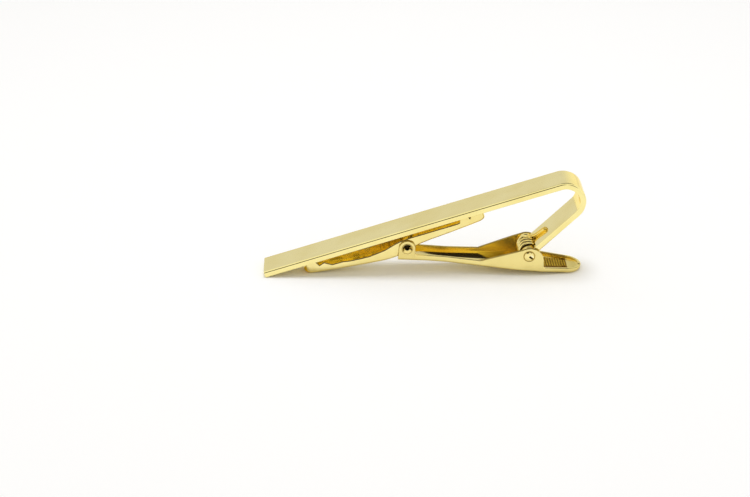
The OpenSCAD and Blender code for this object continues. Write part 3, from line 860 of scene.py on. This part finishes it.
# the inner face of the wall on that side, at x
def leverEdge(x, side):
    inner = lever["earHalf"] - lever["sheet"]
    front = lever["frontHalf"] - lever["sheet"]
    rimStart = lever["mainEarCentre"][0] + lever["mainEar"]
    if x <= lever["wallFoot"]:
        return side * front
    if x <= lever["flareEnd"]:
        share = (x - lever["wallFoot"]) / (lever["flareEnd"] - lever["wallFoot"])
        return side * (front + (inner - front) * share)
    if x <= rimStart:
        return side * inner
    # a straight run meets the tail's round end, which is set off the middle
    radius = lever["tailRadius"] - lever["sheet"]
    toward = Vector((lever["tailAt"] - rimStart, -lever["tailSet"] - side * inner))
    angle = atan2(toward.y, toward.x) + side * asin(radius / toward.length)
    reach = sqrt(toward.length ** 2 - radius ** 2)
    if x <= rimStart + reach * cos(angle):
        return side * inner + (x - rimStart) * tan(angle)
    return -lever["tailSet"] + side * sqrt(max(radius ** 2 - (x - lever["tailAt"]) ** 2, 0))


def leverRow(x, rim):
    floor = leverTop
    if x < lever["dipStart"]:
        dipLength = lever["dipStart"] + lever["reach"] + lever["frontEar"]
        floor -= lever["dip"] * (lever["dipStart"] - x) / dipLength
    if x > lever["flatEnd"]:
        inner = lever["noseRadius"] - lever["sheet"]
        floor = lever["noseRadius"] - lever["depth"] - sqrt(inner ** 2 - (x - lever["flatEnd"]) ** 2)
    plus, minus = leverEdge(x, 1), leverEdge(x, -1)
    return {"x": x, "half": (plus - minus) / 2, "middle": (plus + minus) / 2, "floor": floor,
            "rim": max(rim, floor + lever["leastWall"])}


def leverRows():
    wall = lever["wallHeight"] - lever["depth"]
    rim = lever["rimHeight"] - lever["depth"]
    ear = lever["frontEar"]
    rows = []
    for i in range(lever["frontEarSteps"] + 1):
        angle = pi - pi * i / lever["frontEarSteps"]
        rows.append(leverRow(leverJawAt[0] + ear * cos(angle), leverJawAt[1] + ear * sin(angle)))
    back = leverJawAt[0] + ear
    rows += [leverRow(back + along, wall + up) for along, up in lever["frontEarFoot"]]
    x = back + lever["wallFrom"]
    while x < lever["knee"] - lever["wallEnd"]:
        rows.append(leverRow(x, wall))
        x += lever["wallStep"]
    # from the knee the rim climbs straight to the main ear, and goes round it
    knee = Vector((lever["knee"], wall))
    centre = Vector(lever["mainEarCentre"])
    ear = lever["mainEar"]
    away = knee - centre
    touch = (atan2(away.y, away.x) - acos(ear / away.length)) % (2 * pi)
    meet = centre + ear * Vector((cos(touch), sin(touch)))
    rows += [leverRow(at.x, at.y) for at in between(knee, meet, lever["kneeSteps"])]
    for i in range(lever["mainEarSteps"] + 1):
        angle = touch * (1 - i / lever["mainEarSteps"])
        rows.append(leverRow(centre.x + ear * cos(angle), centre.y + ear * sin(angle)))
    back = centre.x + ear
    rows += [leverRow(back + along, rim + up) for along, up in lever["mainEarFoot"]]
    pitch = (ribs["to"] - ribs["from"]) / ribs["count"]
    for i in range(ribs["count"]):
        rows += [leverRow(ribs["from"] + pitch * (i + share), rim) for share in ribs["edges"]]
    inner = lever["tailRadius"] - lever["sheet"]
    for i in range(lever["noseSteps"] + 1):
        angle = radians(lever["noseFrom"] + lever["noseSweep"] * i / lever["noseSteps"])
        rows.append(leverRow(lever["tailAt"] + inner * sin(angle), rim))
    return sorted(rows, key=lambda row: row["x"])


# the floor stops short of the front ears, and is dished a little along the low walls
def shapeLeverFloor(body):
    floorStart = leverJawAt[0] - lever["frontEar"] + lever["floorSetback"]
    pick("FACE", lambda at, normal: at.x < floorStart and abs(at.y) < lever["floorCut"]
         and normal.z > roughly)
    bpy.ops.mesh.delete(type="FACE")
    shape = bmesh.from_edit_mesh(body.data)
    middle = lever["dishMiddle"]
    for corner in shape.verts:
        share = (corner.co.x - lever["dishFrom"]) / (lever["dishTo"] - lever["dishFrom"])
        half = leverEdge(corner.co.x, 1)
        if 0 < share < 1 and abs(corner.co.y) < half * lever["dishEdge"] and corner.co.z < leverTop + near:
            off = corner.co.y - middle
            reach = half - middle if off > 0 else half + middle
            depth = sin(pi * share) ** lever["dishEnds"] * (1 - abs(off / reach) ** lever["dishSides"])
            corner.co.z -= lever["dish"] * depth
    bmesh.update_edit_mesh(body.data)


# each rib is pressed up from below, and stands on the floor as a row of small points
def pressRibs(body):
    useAlone(body)
    bpy.ops.object.mode_set(mode="EDIT")
    pitch = (ribs["to"] - ribs["from"]) / ribs["count"]
    bottom = -lever["depth"]
    for i in range(ribs["count"]):
        x = ribs["from"] + pitch * (i + 0.5)
        width = leverEdge(x, 1) * ribs["share"]
        middle = (leverEdge(x, 1) + leverEdge(x, -1)) / 2
        pick("FACE", lambda at, normal: abs(at.x - x) < ribs["reach"] and abs(at.y - middle) < width
             and abs(at.z - bottom) < ribs["reach"] and normal.z < -roughly)
        pull((0, 0, ribs["height"]))
        bpy.ops.transform.resize(value=ribs["taper"], center_override=(x, middle, bottom))
        pick("FACE", lambda at, normal: abs(at.x - x) < ribs["reach"] and abs(at.y - middle) < width
             and abs(at.z - leverTop) < ribs["reach"] and normal.z > roughly)
        bpy.ops.mesh.subdivide(number_cuts=1)
        bpy.ops.mesh.inset(thickness=ribs["inset"], depth=ribs["height"], use_individual=True)
    closeShape()


def drillLever(body):
    drill(body, leverJawAt, jawPin["shank"], lever["frontHalf"],
          jawPin["rimRadius"] + jawPin["seat"], lever["seatDepth"])
    drill(body, (0, 0), hingePin["shaft"], lever["earHalf"],
          hingePin["headRadius"] + hingePin["seat"], lever["seatDepth"])


def inSeat(at, centre, radius, outerHalf):
    deepest = outerHalf - lever["seatDepth"] - near
    return fromAxis(at, centre) < radius + near and deepest < abs(at.y) < outerHalf - near / 10


def inLeverSeat(at, normal):
    return (inSeat(at, (0, 0), hingePin["headRadius"] + hingePin["seat"], lever["earHalf"])
            or inSeat(at, leverJawAt, jawPin["rimRadius"] + jawPin["seat"] + near, lever["frontHalf"]))


def onLeverInside(at, normal):
    return (normal.z < 0.5 and normal.y * at.y < -0.1 and at.z < leverPaint["insideTop"]
            and abs(at.y) < leverEdge(at.x, 1) + leverPaint["insideSkin"])


def onLeverRim(at, normal):
    besideX, besideZ = leverPaint["hingeRoom"]
    clearOfHinge = abs(at.x) > besideX or abs(at.z) > besideZ
    clearOfJaw = fromAxis(at, leverJawAt) > leverPaint["jawRoom"]
    return abs(normal.y) < 0.6 and at.z > leverPaint["rimFrom"] and clearOfHinge and clearOfJaw


def onTailFloor(at):
    return leverTop - near < at.z < leverTop + ribs["panelHeight"]


def inRibPanel(at):
    half = ribs["share"] * (lever["earHalf"] - lever["sheet"])
    return ribs["from"] - ribs["panelFrom"] < at.x < panelEnd and abs(at.y - ribs["panelMiddle"]) < half


def onRibTop(at, normal):
    onTop = abs(at.z - leverTop - ribs["height"]) < near
    return onTop and at.x > ribs["from"] and inRibPanel(at)


def onFarFold(at, normal):
    fromX, fromY = leverPaint["foldFrom"]
    low, high = leverPaint["foldFacing"]
    return fromX < at.x < panelEnd and at.y > fromY and onTailFloor(at) and low < normal.z < high


def paintLever(body):
    # the shallow seats round the pin heads are painted dark: painted shade in the crevice round each head
    paint(body, "seatShadeGold", inLeverSeat)
    # the lever's inner walls are painted a deeper orange gold: painted reflection between the gold walls
    paint(body, "insideReflectionGold", onLeverInside)
    # the near inner wall, which the far wall mirrors, is painted a lighter gold: painted light
    paint(body, "litNearGold", lambda at, normal: at.y < 0 and onLeverInside(at, normal))
    # the far inner wall is painted a deep orange, partly diffuse gold: painted reflection of the near wall
    paint(body, "farReflectionGold", lambda at, normal: normal.y < -0.6 and onLeverInside(at, normal))
    # the rims' cut edges are painted dark brown: painted shade line along them
    paint(body, "edgeShadeGold", onLeverRim)
    # the rib panel's floor and the ribs' sides are painted dark brown: painted shade between the ribs
    paint(body, "grooveShadeGold", lambda at, normal: inRibPanel(at) and onTailFloor(at) and normal.z > -0.2)
    # the rib tops are painted a deep orange: painted shade
    paint(body, "deepShadeGold", onRibTop)
    # the nose floor is painted a lighter, half-diffuse gold: painted light
    noseTop = leverPaint["noseTop"] - lever["depth"]
    paint(body, "litNoseGold", lambda at, normal: at.x > panelEnd and at.z < noseTop and normal.z > 0.5)
    # a strip along the far fold beside the rib panel is painted the palest gold: painted highlight
    paint(body, "highlightGold", onFarFold)


def makeLever():
    body = makeChannel("clipLever", leverRows(), lever["columns"], True, lever["fold"])
    shapeLeverFloor(body)
    thicken(body, lever["sheet"], lever["rimRound"])
    pressRibs(body)
    drillLever(body)
    paintLever(body)
    seat(body, "lever_hinge", bench["leverTilt"], "leverGold", 35)
    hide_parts("lever")
    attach(body, "lever_body")


makeLever()
print("lever done")

# Jaw: a narrow rocking channel, toothed where it meets the bar, counted from its pin
jaw = {
    "front": 18.2, "back": 14.3, "rise": 2.7, "depth": 3.95, "half": 1.73, "sheet": 0.42,
    "noseRound": 1.107, "noseSteps": 6, "heelRound": 0.692, "heelSteps": 4, "hub": 1.06, "hubSteps": 12,
    "fold": 0.14, "rimRound": 0.05, "columns": 6, "rows": 40, "leastStep": 0.045, "leastWall": 0.16,
    "farRise": 0.35, "farRiseFrom": 0.08, "farRiseTo": 0.78, "farRiseRamp": 0.08,
    "insideSkin": 0.03, "rimEdge": 0.02,
}
# the jaw's rim and underside in front of and behind its pin, as shares of its length and of its depth
rimFrontShares = [
    (1, 0.36), (0.992, 0.33), (0.918, 0), (0.89, 0), (0.847, 0.352), (0.797, 0.276), (0.727, 0.481),
    (0.623, 0.491), (0.557, 0.547), (0.46, 0.59), (0.363, 0.61), (0.26, 0.562), (0.21, 0.535),
    (0.155, 0.466), (0.1, 0.395), (0.05, 0.35),
]
rimBackShares = [
    (0.07, 0.314), (0.66, 0.314), (0.695, 0.29), (0.725, 0), (0.79, 0), (0.825, 0.253), (0.865, 0), (1, 0),
]
footFrontShares = [
    (1, 0.43), (0.992, 0.48), (0.975, 0.53), (0.94, 0.585), (0.9, 0.62), (0.77, 0.705), (0.58, 0.825),
    (0.385, 0.93), (0.24, 1), (0.17, 1), (0.11, 0.985),
]
footBackShares = [
    (0.07, 0.8), (0.16, 0.72), (0.29, 0.668), (0.54, 0.612), (0.8, 0.535), (0.93, 0.49), (1, 0.4),
]


def jawLine(front, back):
    line = [(-jaw["front"] * along, jaw["rise"] - jaw["depth"] * down) for along, down in front]
    return line + [(jaw["back"] * along, jaw["rise"] - jaw["depth"] * down) for along, down in back]


def heightOn(line, x):
    for (x0, z0), (x1, z1) in zip(line, line[1:]):
        if x0 <= x <= x1:
            return z0 + (z1 - z0) * (x - x0) / (x1 - x0)
    return line[0][1] if x < line[0][0] else line[-1][1]


# a row at each corner of the two lines, round the nose, the heel and the hub, and evenly between
def jawPlaces(corners, start, end, nose, heel):
    noseEnd, heelStart = start + nose, end - heel
    noseSteps, heelSteps, hubSteps = jaw["noseSteps"], jaw["heelSteps"], jaw["hubSteps"]
    places = [start + nose * (1 - cos(pi / 2 * (i + 1) / noseSteps)) for i in range(noseSteps)]
    places += [end - heel * (1 - cos(pi / 2 * (i + 1) / heelSteps)) for i in range(heelSteps)]
    places += [x for x, z in corners if noseEnd < x < heelStart]
    places += [jaw["hub"] * cos(pi * i / hubSteps) for i in range(1, hubSteps)]
    places += [noseEnd + (heelStart - noseEnd) * i / jaw["rows"] for i in range(1, jaw["rows"])]
    kept = [min(places)]
    for x in sorted(places):
        if x - kept[-1] > jaw["leastStep"]:
            kept.append(x)
    return kept


def jawRows():
    rimLine, footLine = jawLine(rimFrontShares, rimBackShares), jawLine(footFrontShares, footBackShares)
    sheet, half = jaw["sheet"], jaw["half"] - jaw["sheet"]
    start, end = sheet - jaw["front"], jaw["back"] - sheet
    nose, heel = jaw["noseRound"] - sheet, jaw["heelRound"] - sheet
    rows = []
    for x in jawPlaces(rimLine + footLine, start, end, nose, heel):
        foot = heightOn(footLine, x)
        if abs(x) < jaw["hub"]:
            foot = min(foot, -sqrt(jaw["hub"] ** 2 - x ** 2))
        width = half
        if x < start + nose:
            width = half - nose + sqrt(nose ** 2 - (start + nose - x) ** 2)
        if x > end - heel:
            width = half - heel + sqrt(heel ** 2 - (x - end + heel) ** 2)
        floor = foot + sheet
        share = -x / jaw["front"]
        inside = min(share - jaw["farRiseFrom"], jaw["farRiseTo"] - share)
        rise = jaw["farRise"] * min(max(inside / jaw["farRiseRamp"], 0), 1)
        rows.append({"x": x, "half": width, "middle": 0, "floor": floor, "farRise": rise,
                     "rim": max(heightOn(rimLine, x), floor + jaw["leastWall"])})
    return rows


def paintJaw(body):
    wall = jaw["half"] - jaw["sheet"]
    inner = wall + jaw["insideSkin"]
    rimFrom, rimTo = wall + jaw["rimEdge"], jaw["half"] - jaw["rimEdge"]
    noseEnd = jaw["noseRound"] - jaw["front"]
    # the jaw's insides are painted a deeper orange gold: painted reflection between its walls
    paint(body, "jawInsideReflection", lambda at, normal: abs(at.y) < inner
          and (normal.y * at.y < -0.2 or normal.z > 0.3))
    # the jaw's near inner wall is painted the same lighter gold: painted light
    paint(body, "litNearGold", lambda at, normal: -inner < at.y < 0 and normal.y > 0.2)
    # the jaw's rim tops are painted near black: painted shade line
    paint(body, "rimShadeGold", lambda at, normal: rimFrom < abs(at.y) < rimTo and normal.z > 0.3)
    # the jaw's nose end is painted the same deep orange: painted shade
    paint(body, "deepShadeGold", lambda at, normal: at.x < noseEnd and normal.x < -0.4 and normal.z < 0.5)


def makeJaw():
    body = makeChannel("clipJaw", jawRows(), jaw["columns"], False, jaw["fold"])
    thicken(body, jaw["sheet"], jaw["rimRound"])
    drill(body, (0, 0), jawPin["radius"], jaw["half"])
    paintJaw(body)
    seat(body, "jaw_hinge", -bench["barSlope"], "jawGold", 35)
    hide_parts("jaw")
    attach(body, "jaw_body")


makeJaw()
print("jaw done")
